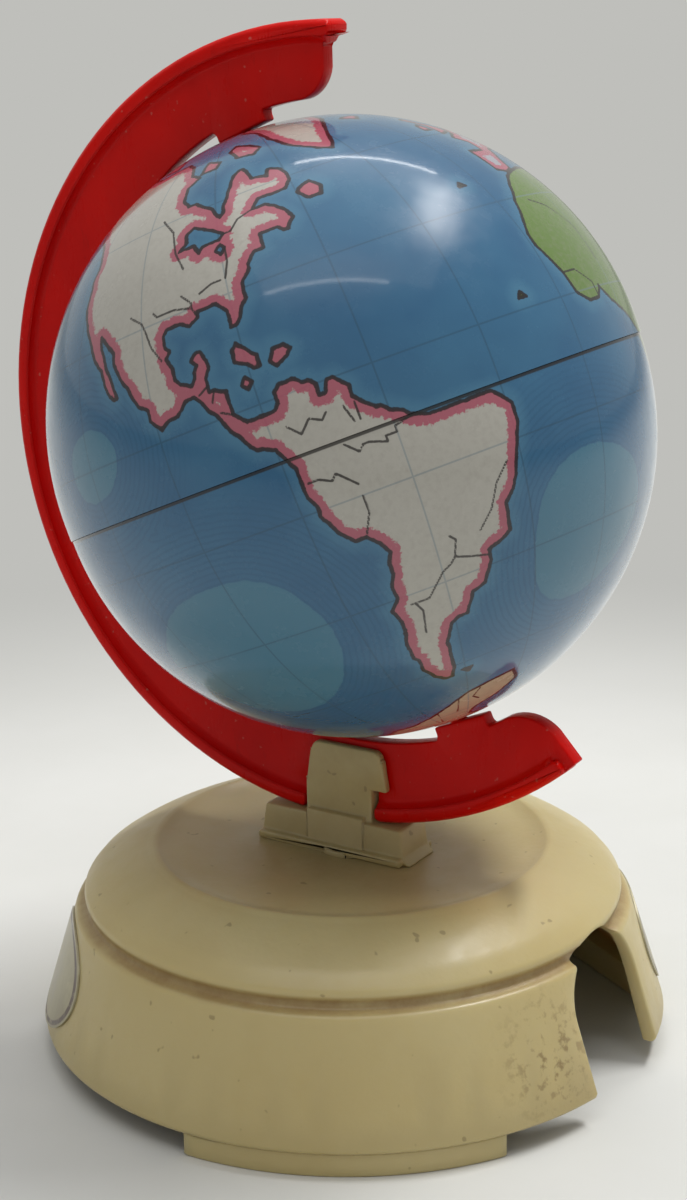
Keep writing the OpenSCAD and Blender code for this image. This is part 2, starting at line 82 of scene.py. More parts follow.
def add(tree, kind, inputs={}, out=0, stops=(), **settings):
    """One node with its settings, its inputs by place or name, and a ramp's stops."""
    node = tree.nodes.new(kind)
    for key, value in settings.items():
        setattr(node, key, value)
    for place, value in inputs.items():
        if isinstance(value, bpy.types.NodeSocket):
            tree.links.new(value, node.inputs[place])
        else:
            node.inputs[place].default_value = linear(value) if isinstance(value, str) else value
    for index, (place, colour) in enumerate(stops):
        points = node.color_ramp.elements
        point = points[index] if index < 2 else points.new(place)
        point.position = place
        point.color = linear(colour) if isinstance(colour, str) else (colour, colour, colour, 1)
    return node.outputs[out]


def finish_of(name, **plain):
    """A new material with the plain values of its shader's sockets."""
    made = bpy.data.materials.new(name)
    made.use_nodes = True
    shader = made.node_tree.nodes["Principled BSDF"]
    for title, value in plain.items():
        shader.inputs[title.replace("_", " ")].default_value = value
    return made, made.node_tree, shader.inputs


def softened(node, edge, body):
    """A copy of a moulded piece with the small round that a mould leaves on each sharp edge."""
    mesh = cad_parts[node].data.copy()
    work = bmesh.new()
    work.from_mesh(mesh)
    bmesh.ops.remove_doubles(work, verts=work.verts, dist=1e-6)
    bmesh.ops.dissolve_limit(work, angle_limit=math.radians(1), verts=work.verts, edges=work.edges)
    sharp = [e for e in work.edges if e.is_manifold and e.calc_face_angle() > math.radians(35)]
    bmesh.ops.bevel(work, geom=sharp, offset=edge, offset_type="OFFSET", segments=2, profile=0.5,
                    affect="EDGES", clamp_overlap=False)
    bmesh.ops.triangulate(work, faces=work.faces)
    work.to_mesh(mesh)
    work.free()
    mesh.materials.clear()
    mesh.shade_smooth()
    mesh.set_sharp_from_angle(angle=math.radians(38))
    made = bpy.data.objects.new(node + "_moulded", mesh)
    bpy.context.scene.collection.objects.link(made)
    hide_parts(node)
    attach(made, body)
    return made


mould_round = 0.00025
stand = softened("stand_shell", mould_round, "base")
post = softened("stand_post", mould_round, "stand")

# Moulded ivory polystyrene: a warm, slightly translucent satin cream
ivory, tree, shader = finish_of("moulded_ivory_polystyrene", IOR=1.5, Subsurface_Weight=0.2,
                                Subsurface_Radius=(0.004, 0.003, 0.0015), Subsurface_Scale=1.0)
at = add(tree, "ShaderNodeTexCoord", out="Object")
# Flow clouds 25 mm across and mottling of 6 mm
clouds = add(tree, "ShaderNodeTexNoise", {"Vector": at, "Scale": 40, "Detail": 4, "Roughness": 0.6})
tone = add(tree, "ShaderNodeValToRGB", {0: clouds}, stops=[(0.3, "#baa772"), (0.75, "#c9ba8a"), (0.52, "#c2b17e")])
mottle = add(tree, "ShaderNodeTexNoise", {"Vector": at, "Scale": 160, "Detail": 3})
mottle = add(tree, "ShaderNodeMapRange", {0: mottle, 1: 0.5, 2: 0.75, 3: 0.0, 4: 0.22})
tone = add(tree, "ShaderNodeMix", {0: mottle, 6: tone, 7: "#b39f68"}, out=2, data_type="RGBA")
z = add(tree, "ShaderNodeSeparateXYZ", {0: at}, out="Z")
flat = add(tree, "ShaderNodeVectorMath", {0: at, 1: (1, 1, 0)}, operation="MULTIPLY")
radius = add(tree, "ShaderNodeVectorMath", {0: flat}, out=1, operation="LENGTH")
patches = add(tree, "ShaderNodeTexNoise", {"Vector": at, "Scale": 220, "Detail": 5, "Roughness": 0.7})
# Painted shade lies in the groove under the ledge
groove_height, groove_radius = 0.0169, 0.0312
from_groove = add(tree, "ShaderNodeMath", {0: z, 1: groove_height}, operation="SUBTRACT")
from_groove = add(tree, "ShaderNodeMath", {0: from_groove}, operation="ABSOLUTE")
groove_shade = add(tree, "ShaderNodeMapRange", {0: from_groove, 1: 0.0004, 2: 0.0011, 3: 0.75, 4: 0.0})
outer = add(tree, "ShaderNodeMapRange", {0: radius, 1: groove_radius, 2: groove_radius + 0.001, 3: 1.0, 4: 0.0})
groove_shade = add(tree, "ShaderNodeMath", {0: groove_shade, 1: outer}, operation="MULTIPLY")
# Painted shade also lies in the dish under the globe and on the post, darkest beside the post
dish_height, post_reach, dish_radius = 0.019, 0.007, 0.0165
high = add(tree, "ShaderNodeMapRange", {0: z, 1: dish_height, 2: dish_height + 0.0005})
dish_shade = add(tree, "ShaderNodeMapRange", {0: radius, 1: post_reach, 2: dish_radius, 3: 0.28, 4: 0.0})
dish_shade = add(tree, "ShaderNodeMath", {0: dish_shade, 1: high}, operation="MULTIPLY")
painted_shade = add(tree, "ShaderNodeMath", {0: groove_shade, 1: dish_shade}, operation="MAXIMUM")
patchy = add(tree, "ShaderNodeMapRange", {0: patches, 1: 0.3, 2: 0.65, 3: 0.45, 4: 1.0})
painted_shade = add(tree, "ShaderNodeMath", {0: painted_shade, 1: patchy}, operation="MULTIPLY")
# The painted shade is a warm brown, which in the dish also paints the red arm's reflection
tone = add(tree, "ShaderNodeMix", {0: painted_shade, 6: tone, 7: "#84602f"}, out=2, data_type="RGBA")
# Stains and specks of 0.5 to 2 mm lie beside the outlet's left edge
outlet_edge = (-0.0125, -0.0335, 0.0095)
stained = add(tree, "ShaderNodeVectorMath", {0: at, 1: outlet_edge}, out=1, operation="DISTANCE")
stained = add(tree, "ShaderNodeMapRange", {0: stained, 1: 0.002, 2: 0.0085, 3: 0.75, 4: 0.0})
spots = add(tree, "ShaderNodeTexNoise", {"Vector": at, "Scale": 850, "Detail": 3, "Roughness": 0.6})
spots = add(tree, "ShaderNodeMapRange", {0: spots, 1: 0.52, 2: 0.64})
stained = add(tree, "ShaderNodeMath", {0: stained, 1: spots}, operation="MULTIPLY")
stained = add(tree, "ShaderNodeMath", {0: stained, 1: 0.8}, operation="MULTIPLY")
tone = add(tree, "ShaderNodeMix", {0: stained, 6: tone, 7: "#6b4c22"}, out=2, data_type="RGBA")
specks = add(tree, "ShaderNodeTexNoise", {"Vector": at, "Scale": 700, "Detail": 1})
specks = add(tree, "ShaderNodeMapRange", {0: specks, 1: 0.74, 2: 0.78, 3: 0.0, 4: 0.5})
tone = add(tree, "ShaderNodeMix", {0: specks, 6: tone, 7: "#77643c"}, out=2, data_type="RGBA")
tree.links.new(tone, shader["Base Color"])
tree.links.new(add(tree, "ShaderNodeMapRange", {0: patches, 1: 0.3, 2: 0.75, 3: 0.3, 4: 0.48}), shader["Roughness"])
# Fine grain of 0.8 mm, drawn coarser than the real 0.1 mm so that it shows, over the clouds' shallow sinks
grain = add(tree, "ShaderNodeTexNoise", {"Vector": at, "Scale": 1200, "Detail": 2})
sinks = add(tree, "ShaderNodeMath", {0: clouds, 1: 6.0, 2: grain}, operation="MULTIPLY_ADD")
tree.links.new(add(tree, "ShaderNodeBump", {"Height": sinks, "Strength": 0.12, "Distance": 0.0002}), shader["Normal"])
for piece in (stand, post):
    piece.data.materials.append(ivory)

# ---------------------------------------------------------------------------
# Oval badges: thin lacquered foil, stuck on the skirt on two sides and left
# blank, with a printed brown border.
# ---------------------------------------------------------------------------
# Lacquered foil: a greyish beige with a soft gloss and handling marks
foil, tree, shader = finish_of("lacquered_foil", IOR=1.5, Metallic=0.15, Coat_Weight=0.3, Coat_Roughness=0.2)
at = add(tree, "ShaderNodeTexCoord", out="Object")
# Both badges face along one line, so one oval serves them: half its width and height, and its middle's height
oval_width, oval_height, oval_middle = 0.0095, 0.006, 0.0096
across = math.radians(311 + 90)
across = (math.cos(across) / oval_width, math.sin(across) / oval_width, 0)
along = add(tree, "ShaderNodeVectorMath", {0: at, 1: across}, out=1, operation="DOT_PRODUCT")
up = add(tree, "ShaderNodeVectorMath", {0: at, 1: (0, 0, 1 / oval_height)}, out=1, operation="DOT_PRODUCT")
up = add(tree, "ShaderNodeMath", {0: up, 1: oval_middle / oval_height}, operation="SUBTRACT")
oval = add(tree, "ShaderNodeCombineXYZ", {0: along, 1: up})
oval = add(tree, "ShaderNodeVectorMath", {0: oval}, out=1, operation="LENGTH")
border = add(tree, "ShaderNodeValToRGB", {0: oval},
             stops=[(0.87, 0.0), (1.0, 0.0), (0.89, 1.0), (0.95, 1.0), (0.97, 0.0)])
worn = add(tree, "ShaderNodeTexNoise", {"Vector": at, "Scale": 600, "Detail": 4, "Roughness": 0.7})
worn = add(tree, "ShaderNodeMapRange", {0: worn, 1: 0.35, 2: 0.5, 3: 0.3, 4: 1.0})
border = add(tree, "ShaderNodeMath", {0: border, 1: worn}, operation="MULTIPLY")
smoke = add(tree, "ShaderNodeTexNoise", {"Vector": at, "Scale": 250, "Detail": 5, "Roughness": 0.65})
tone = add(tree, "ShaderNodeValToRGB", {0: smoke}, stops=[(0.35, "#8f8563"), (0.7, "#b0a989")])
tone = add(tree, "ShaderNodeMix", {0: border, 6: tone, 7: "#4a3320"}, out=2, data_type="RGBA")
tree.links.new(tone, shader["Base Color"])
tree.links.new(add(tree, "ShaderNodeMapRange", {0: smoke, 1: 0.3, 2: 0.7, 3: 0.28, 4: 0.5}), shader["Roughness"])
tree.links.new(add(tree, "ShaderNodeBump", {"Height": smoke, "Strength": 0.15, "Distance": 0.0001}), shader["Normal"])
for name in ("label_front", "label_rear"):
    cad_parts[name].data.materials.clear()
    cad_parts[name].data.materials.append(foil)

# ---------------------------------------------------------------------------
# Dispenser, hung under the dish: a cup and a star wheel of plain moulded
# plastic, three screws, a washer and one screw of zinc plated steel.
# ---------------------------------------------------------------------------
# Unpolished moulding: flat, slightly chalky, with patches of dust
plain, tree, shader = finish_of("moulded_inner_polystyrene", IOR=1.5)
at = add(tree, "ShaderNodeTexCoord", out="Object")
flow = add(tree, "ShaderNodeTexNoise", {"Vector": at, "Scale": 90, "Detail": 5, "Roughness": 0.6, "Distortion": 0.6})
tone = add(tree, "ShaderNodeValToRGB", {0: flow}, stops=[(0.3, "#b5aa7f"), (0.7, "#c4b98f")])
dust = add(tree, "ShaderNodeTexNoise", {"Vector": at, "Scale": 480, "Detail": 4, "Roughness": 0.7})
dust = add(tree, "ShaderNodeMapRange", {0: dust, 1: 0.52, 2: 0.68, 3: 0.0, 4: 0.5})
tone = add(tree, "ShaderNodeMix", {0: dust, 6: tone, 7: "#94865e"}, out=2, data_type="RGBA")
tree.links.new(tone, shader["Base Color"])
tree.links.new(add(tree, "ShaderNodeMapRange", {0: flow, 1: 0.3, 2: 0.7, 3: 0.48, 4: 0.62}), shader["Roughness"])
# Eroded mould skin, drawn at 1 mm where the real one is 0.1 mm
skin = add(tree, "ShaderNodeTexNoise", {"Vector": at, "Scale": 1000, "Detail": 2})
tree.links.new(add(tree, "ShaderNodeBump", {"Height": skin, "Strength": 0.3, "Distance": 0.0001}), shader["Normal"])
for name in ("gumball_cup", "dispensing_wheel"):
    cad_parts[name].data.materials.clear()
    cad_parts[name].data.materials.append(plain)

# Zinc plate: a pale bluish metal with spangle of 2 mm and dull spots of oxide
zinc, tree, shader = finish_of("zinc_plated_steel", Metallic=1.0)
at = add(tree, "ShaderNodeTexCoord", out="Object")
spangle = add(tree, "ShaderNodeTexVoronoi", {"Vector": at, "Scale": 500}, out="Color")
spangle = add(tree, "ShaderNodeSeparateColor", {0: spangle})
tone = add(tree, "ShaderNodeValToRGB", {0: spangle}, stops=[(0.0, "#aeb2b5"), (1.0, "#c6c9ca")])
oxide = add(tree, "ShaderNodeTexNoise", {"Vector": at, "Scale": 900, "Detail": 4, "Roughness": 0.7})
oxide = add(tree, "ShaderNodeMapRange", {0: oxide, 1: 0.55, 2: 0.7})
tone = add(tree, "ShaderNodeMix", {0: oxide, 6: tone, 7: "#8b8a82"}, out=2, data_type="RGBA")
tree.links.new(tone, shader["Base Color"])
tree.links.new(add(tree, "ShaderNodeMapRange", {0: oxide, 3: 0.28, 4: 0.6}), shader["Roughness"])
tree.links.new(add(tree, "ShaderNodeBump", {"Height": oxide, "Strength": 0.2, "Distance": 0.00005}), shader["Normal"])
for name in ("cup_screws", "wheel_washer", "wheel_screw"):
    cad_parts[name].data.materials.clear()
    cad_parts[name].data.materials.append(zinc)

# ---------------------------------------------------------------------------
# Gumballs: four half-inch balls in the star wheel's pockets, all but the one
# at the outlet. Their candy shells are pan coated, so they are never quite
# round, and polished.
# ---------------------------------------------------------------------------
# Polished sugar glaze: a deep red with clouds where the syrup dried unevenly
glaze, tree, shader = finish_of("sugar_glaze", IOR=1.5, Coat_Weight=0.4, Coat_Roughness=0.1)
at = add(tree, "ShaderNodeTexCoord", out="Object")
syrup = add(tree, "ShaderNodeTexNoise", {"Vector": at, "Scale": 260, "Detail": 5, "Roughness": 0.6})
tone = add(tree, "ShaderNodeValToRGB", {0: syrup}, stops=[(0.35, "#b5200f"), (0.7, "#cf3a26")])
tree.links.new(tone, shader["Base Color"])
tree.links.new(add(tree, "ShaderNodeMapRange", {0: syrup, 1: 0.35, 2: 0.7, 3: 0.16, 4: 0.34}), shader["Roughness"])
tree.links.new(add(tree, "ShaderNodeBump", {"Height": syrup, "Strength": 0.1, "Distance": 0.0002}), shader["Normal"])

tree = bpy.data.node_groups.new("gumballs_in_pockets", "GeometryNodeTree")
tree.interface.new_socket("Geometry", in_out="OUTPUT", socket_type="NodeSocketGeometry")
sizes = {}
for title, kind, value in (("Pockets", "NodeSocketInt", 5), ("Pitch radius", "NodeSocketFloat", 0.0135),
                           ("Height", "NodeSocketFloat", 0.0091), ("Ball radius", "NodeSocketFloat", 0.00635),
                           ("Unevenness", "NodeSocketFloat", 0.00006)):
    socket = tree.interface.new_socket(title, in_out="INPUT", socket_type=kind)
    sizes[title] = (socket.identifier, value)
given = tree.nodes.new("NodeGroupInput")
ring = add(tree, "GeometryNodeMeshCircle",
           {"Vertices": given.outputs["Pockets"], "Radius": given.outputs["Pitch radius"]})
# The circle starts at +X, and the wheel's empty pocket faces -Y
lift = add(tree, "ShaderNodeCombineXYZ", {2: given.outputs["Height"]})
ring = add(tree, "GeometryNodeTransform",
           {"Geometry": ring, "Rotation": (0, 0, math.radians(-90)), "Translation": lift})
index = add(tree, "GeometryNodeInputIndex")
first = add(tree, "FunctionNodeCompare", {2: index, 3: 0}, data_type="INT", operation="EQUAL")
ring = add(tree, "GeometryNodeDeleteGeometry", {0: ring, 1: first})
ball = add(tree, "GeometryNodeMeshUVSphere", {"Segments": 48, "Rings": 24, "Radius": given.outputs["Ball radius"]})
spin = add(tree, "FunctionNodeRandomValue", {0: (0, 0, 0), 1: (6.28, 6.28, 6.28), "Seed": 4},
           data_type="FLOAT_VECTOR")
balls = add(tree, "GeometryNodeInstanceOnPoints", {"Points": ring, "Instance": ball, "Rotation": spin})
balls = add(tree, "GeometryNodeRealizeInstances", {0: balls})
lumps = add(tree, "ShaderNodeTexNoise", {"Scale": 180, "Detail": 1})
lumps = add(tree, "ShaderNodeMapRange", {0: lumps, 1: 0.3, 2: 0.7, 3: -2.0, 4: 0.0})
push = add(tree, "ShaderNodeMath", {0: lumps, 1: given.outputs["Unevenness"]}, operation="MULTIPLY")
outwards = add(tree, "GeometryNodeInputNormal")
push = add(tree, "ShaderNodeVectorMath", {0: outwards, "Scale": push}, operation="SCALE")
balls = add(tree, "GeometryNodeSetPosition", {"Geometry": balls, "Offset": push})
balls = add(tree, "GeometryNodeSetShadeSmooth", {"Geometry": balls})
balls = add(tree, "GeometryNodeSetMaterial", {"Geometry": balls, "Material": glaze})
tree.links.new(balls, tree.nodes.new("NodeGroupOutput").inputs[0])
maker = bpy.data.objects.new("gumball_maker", bpy.data.meshes.new("gumball_maker"))
bpy.context.scene.collection.objects.link(maker)
filled = maker.modifiers.new("pockets", "NODES")
filled.node_group = tree
for identifier, value in sizes.values():
    filled[identifier] = value
mesh = bpy.data.meshes.new_from_object(maker.evaluated_get(bpy.context.evaluated_depsgraph_get()))
maker.modifiers.clear()
bpy.data.objects.remove(maker)
gumballs = bpy.data.objects.new("gumballs_glazed", mesh)
bpy.context.scene.collection.objects.link(gumballs)
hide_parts("gumballs")
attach(gumballs, "stand")

# ---------------------------------------------------------------------------
# Meridian arm: red polystyrene, moulded in one piece with a T section and
# clamped in the post. Its studs are the globe's pivots.
# ---------------------------------------------------------------------------
arm_round = 0.0002
arm = softened("meridian_arm", arm_round, "stand")
# Moulded red polystyrene: a deep, slightly clear red with a soft gloss, dust and hairline scratches
red, tree, shader = finish_of("moulded_red_polystyrene", IOR=1.22, Subsurface_Weight=0.1,
                              Subsurface_Radius=(0.003, 0.0004, 0.0002), Subsurface_Scale=1.0)
at = add(tree, "ShaderNodeTexCoord", out="Object")
flow = add(tree, "ShaderNodeTexNoise", {"Vector": at, "Scale": 55, "Detail": 5, "Roughness": 0.6, "Distortion": 0.8})
tone = add(tree, "ShaderNodeValToRGB", {0: flow}, stops=[(0.3, "#c20401"), (0.7, "#d60a02")])
# Hairlines 0.15 mm wide run round the arm, in its own plane
round_arm = add(tree, "ShaderNodeMapping", {0: at, "Scale": (6.0, 1.0, 0.35)})
lines = add(tree, "ShaderNodeTexNoise", {"Vector": round_arm, "Scale": 420, "Detail": 6, "Roughness": 0.75})
hairs = add(tree, "ShaderNodeMapRange", {0: lines, 1: 0.6, 2: 0.72, 3: 0.0, 4: 0.3})
tone = add(tree, "ShaderNodeMix", {0: hairs, 6: tone, 7: "#8e0c06"}, out=2, data_type="RGBA")
# Dust, drawn at 0.7 mm where the real grains are 0.1 mm
dust = add(tree, "ShaderNodeTexNoise", {"Vector": at, "Scale": 1400, "Detail": 1})
dust = add(tree, "ShaderNodeMapRange", {0: dust, 1: 0.73, 2: 0.8, 3: 0.0, 4: 0.35})
tone = add(tree, "ShaderNodeMix", {0: dust, 6: tone, 7: "#c98a7c"}, out=2, data_type="RGBA")
tree.links.new(tone, shader["Base Color"])
tree.links.new(add(tree, "ShaderNodeMapRange", {0: lines, 1: 0.35, 2: 0.7, 3: 0.24, 4: 0.42}), shader["Roughness"])
sinks = add(tree, "ShaderNodeMath", {0: flow, 1: 5.0, 2: lines}, operation="MULTIPLY_ADD")
tree.links.new(add(tree, "ShaderNodeBump", {"Height": sinks, "Strength": 0.12, "Distance": 0.0002}), shader["Normal"])
arm.data.materials.append(red)

# ---------------------------------------------------------------------------
# Globe: two drawn tinplate halves. The map is printed on the flat sheet in
# lithographic inks, under a clear varnish, before the halves are drawn. Its
# outlines are simple, in whole degrees, as on such a toy, and it has no names.
# ---------------------------------------------------------------------------
americas = [
    (-168, 66), (-162, 70), (-156, 71), (-141, 70), (-128, 70), (-115, 68), (-104, 68), (-96, 68), (-92, 66),
    (-90, 62), (-86, 60), (-88, 59), (-90, 58), (-90, 56), (-90, 54), (-88, 52), (-86, 52), (-83, 50), (-81, 49),
    (-80, 47), (-79, 46), (-78, 47), (-78, 48), (-77, 50), (-76, 52), (-75, 54), (-74, 56), (-72, 57), (-71, 57),
    (-70, 56), (-69, 53), (-68, 53), (-65, 52), (-64, 54), (-63, 54), (-61, 53), (-60, 51), (-60, 49), (-62, 47),
    (-64, 47), (-66, 47), (-69, 47), (-70, 46), (-71, 45), (-69, 45), (-68, 45), (-66, 44), (-65, 43), (-64, 42),
    (-63, 40), (-64, 39), (-65, 38), (-66, 38), (-67, 39), (-69, 39), (-71, 39), (-71, 38), (-71, 36), (-73, 36),
    (-74, 35), (-75, 34), (-75, 33), (-76, 32), (-77, 31), (-77, 29), (-77, 28), (-78, 27), (-79, 25), (-80, 24),
    (-81, 24), (-81, 26), (-81, 27), (-82, 28), (-83, 29), (-85, 29), (-87, 29), (-87, 28), (-89, 27), (-91, 28),
    (-92, 28), (-93, 28), (-94, 28), (-95, 27), (-95, 25), (-94, 24), (-95, 23), (-94, 21), (-94, 19), (-93, 18),
    (-91, 17), (-90, 18), (-90, 19), (-89, 20), (-90, 21), (-89, 22), (-88, 22), (-87, 20), (-87, 19), (-88, 17),
    (-88, 15), (-87, 15), (-85, 14), (-85, 13), (-85, 11), (-85, 10), (-84, 9), (-83, 8), (-82, 8), (-80, 8),
    (-78, 8), (-77, 9), (-77, 11), (-76, 12), (-74, 12), (-73, 12), (-72, 11), (-71, 11), (-70, 10), (-70, 8),
    (-69, 8), (-68, 10), (-67, 10), (-66, 9), (-65, 8), (-65, 6), (-64, 5), (-63, 4), (-62, 3), (-61, 3), (-60, 2),
    (-58, 1), (-57, 0), (-54, -1), (-50, -1), (-46, -1), (-42, -1), (-41, -2), (-40, -3), (-39, -4), (-39, -6),
    (-39, -7), (-40, -10), (-41, -13), (-42, -16), (-43, -18), (-45, -20), (-45, -23), (-45, -25), (-47, -26),
    (-50, -27), (-50, -29), (-51, -31), (-52, -33), (-55, -34), (-56, -36), (-57, -38), (-59, -38), (-61, -39),
    (-62, -41), (-63, -43), (-63, -46), (-63, -50), (-64, -53), (-66, -53), (-69, -51), (-71, -48), (-71, -45),
    (-72, -44), (-72, -40), (-71, -37), (-71, -35), (-72, -32), (-70, -30), (-70, -27), (-69, -25), (-69, -23),
    (-68, -21), (-69, -19), (-71, -17), (-73, -17), (-75, -15), (-76, -13), (-77, -11), (-77, -9), (-78, -7),
    (-78, -5), (-78, -2), (-79, 0), (-80, 2), (-82, 3), (-83, 3), (-84, 4), (-85, 6), (-86, 7), (-87, 9), (-88, 11),
    (-89, 12), (-90, 14), (-91, 15), (-93, 15), (-94, 14), (-95, 13), (-97, 13), (-99, 12), (-101, 14), (-101, 16),
    (-103, 17), (-104, 19), (-105, 21), (-106, 22), (-107, 24), (-108, 26), (-108, 28), (-110, 30), (-112, 32),
    (-112, 30), (-111, 28), (-110, 25), (-109, 23), (-108, 20), (-109, 20), (-110, 21), (-111, 23), (-112, 26),
    (-114, 28), (-115, 30), (-116, 32), (-118, 35), (-119, 37), (-120, 39), (-120, 43), (-121, 45), (-120, 47),
    (-121, 49), (-124, 52), (-130, 55), (-136, 58), (-141, 60), (-148, 61), (-152, 59), (-158, 57), (-164, 55),
    (-160, 58), (-165, 61), (-161, 64)]
africa = [
    (-5, 36), (3, 37), (10, 37), (11, 33), (15, 32), (20, 31), (21, 33), (25, 32), (32, 31), (34, 28), (37, 21),
    (43, 12), (51, 12), (48, 5), (42, -2), (39, -6), (41, -13), (35, -20), (35, -24), (32, -28), (27, -34),
    (20, -35), (18, -32), (15, -26), (12, -17), (14, -10), (9, -1), (4, 3), (-1, 6), (-3, 7), (-6, 10), (-8, 8),
    (-12, 8), (-15, 10), (-16, 14), (-18, 18), (-19, 20), (-19, 22), (-18, 24), (-16, 27), (-15, 29), (-13, 31),
    (-11, 33), (-8, 35)]
europe = [
    (-9, 37), (-9, 43), (-2, 43), (-1, 46), (-5, 48), (1, 50), (4, 52), (8, 54), (8, 57), (10, 57), (10, 55),
    (14, 54), (20, 55), (23, 58), (30, 60), (22, 60), (21, 63), (25, 66), (21, 65), (17, 62), (18, 60), (16, 56),
    (12, 56), (11, 59), (6, 58), (5, 62), (12, 66), (18, 70), (27, 71), (41, 67), (34, 66), (37, 64), (44, 66),
    (50, 69), (60, 69), (60, 56), (50, 51), (48, 46), (47, 43), (41, 41), (38, 45), (39, 47), (34, 45), (31, 46),
    (28, 44), (28, 42), (24, 41), (24, 38), (22, 37), (19, 41), (14, 45), (13, 44), (18, 40), (16, 38), (15, 40),
    (11, 42), (9, 44), (4, 43), (0, 40), (-2, 37), (-5, 36)]
asia = [
    (60, 69), (68, 69), (72, 73), (75, 69), (80, 73), (95, 76), (105, 77), (113, 74), (128, 72), (142, 72),
    (160, 70), (170, 70), (180, 69), (190, 66), (180, 64), (171, 60), (163, 58), (162, 55), (157, 51), (157, 58),
    (163, 62), (155, 59), (143, 59), (136, 55), (141, 53), (140, 48), (135, 43), (130, 42), (128, 39), (129, 36),
    (126, 35), (125, 39), (121, 39), (118, 39), (122, 37), (119, 35), (122, 31), (120, 26), (115, 23), (108, 21),
    (106, 18), (109, 13), (105, 9), (102, 12), (100, 13), (100, 9), (103, 2), (101, 3), (98, 9), (98, 15),
    (94, 17), (92, 22), (87, 21), (81, 16), (80, 11), (77, 8), (74, 14), (73, 20), (69, 22), (66, 25), (57, 26),
    (51, 29), (48, 30), (52, 25), (56, 26), (60, 22), (55, 17), (45, 13), (43, 14), (39, 22), (35, 29), (36, 36),
    (30, 37), (27, 37), (27, 40), (35, 42), (41, 41), (47, 43), (48, 46), (50, 51), (60, 56)]
islands = [
    [(-55, 61), (-53, 59), (-50, 57), (-47, 55), (-44, 54), (-42, 56), (-40, 59), (-36, 63), (-28, 68), (-22, 72),
     (-18, 78), (-30, 82), (-60, 82), (-68, 77), (-60, 72), (-58, 66)],
    [(-75, 66), (-72, 62), (-66, 61), (-63, 63), (-67, 66), (-72, 68)], [(-86, 61), (-80, 61), (-79, 63), (-84, 65)],
    [(-105, 69), (-117, 70), (-118, 73), (-107, 73)], [(-90, 77), (-78, 77), (-72, 81), (-85, 82)],
    [(-60, 45), (-59, 46), (-56, 47), (-54, 45), (-55, 43), (-58, 43)],
    [(-82, 20), (-81, 21), (-80, 20), (-78, 18), (-78, 16), (-79, 16), (-80, 17), (-82, 18)],
    [(-75, 18), (-73, 18), (-72, 17), (-73, 16), (-75, 15), (-76, 16)], [(-82, 14), (-81, 15), (-80, 14), (-81, 13)],
    [(-61, -52), (-58, -52), (-59, -53)], [(-24, 65), (-20, 66), (-15, 66), (-14, 65), (-19, 63)],
    [(-5, 50), (1, 51), (2, 53), (-2, 56), (-3, 59), (-6, 58), (-3, 54)], [(-10, 52), (-6, 52), (-6, 55), (-9, 54)],
    [(49, -12), (50, -16), (47, -25), (44, -23), (44, -17)], [(131, 31), (136, 33), (141, 36), (142, 40), (145, 43),
     (142, 45), (140, 42), (136, 37)], [(95, 5), (104, -2), (106, -6), (101, -3)],
    [(109, 1), (113, 3), (117, 7), (119, 5), (116, -4), (110, -3)], [(131, -1), (138, -2), (145, -5), (150, -10),
     (143, -9), (137, -8)], [(120, 16), (122, 18), (126, 7), (122, 8)], [(173, -35), (178, -38), (175, -41)],
    [(173, -41), (174, -42), (168, -47), (167, -45)], [(80, 9), (82, 7), (80, 6)], [(145, -41), (148, -41),
     (147, -44)], [(-159, 22), (-155, 20), (-156, 19)], [(-26, 35), (-25, 36), (-24, 35)], [(-30, 12), (-29, 13),
     (-28, 12)]]
australia = [
    (114, -22), (121, -19), (125, -15), (130, -15), (132, -12), (137, -12), (136, -15), (140, -18), (142, -11),
    (146, -16), (150, -22), (153, -27), (150, -37), (145, -38), (138, -35), (131, -31), (124, -34), (117, -35),
    (115, -32)]
antarctica = [
    (-180, -78), (-160, -78), (-150, -76), (-130, -74), (-114, -72), (-104, -70), (-92, -70), (-80, -68),
    (-70, -65), (-60, -61), (-52, -60), (-42, -59), (-38, -63), (-46, -68), (-56, -71), (-58, -75), (-45, -78),
    (-30, -77), (-18, -72), (0, -70), (30, -69), (50, -67), (70, -69), (100, -66), (140, -67), (160, -70),
    (170, -74), (180, -78)]
lakes = [[(-90, 42), (-88, 43), (-88, 45), (-86, 46), (-84, 45), (-82, 44), (-79, 42), (-80, 41), (-82, 41),
          (-84, 41), (-85, 40), (-86, 42), (-88, 42)], [(-81, 39), (-80, 40), (-79, 39), (-80, 38)],
         [(48, 42), (51, 46), (54, 41), (53, 37), (50, 37)]]
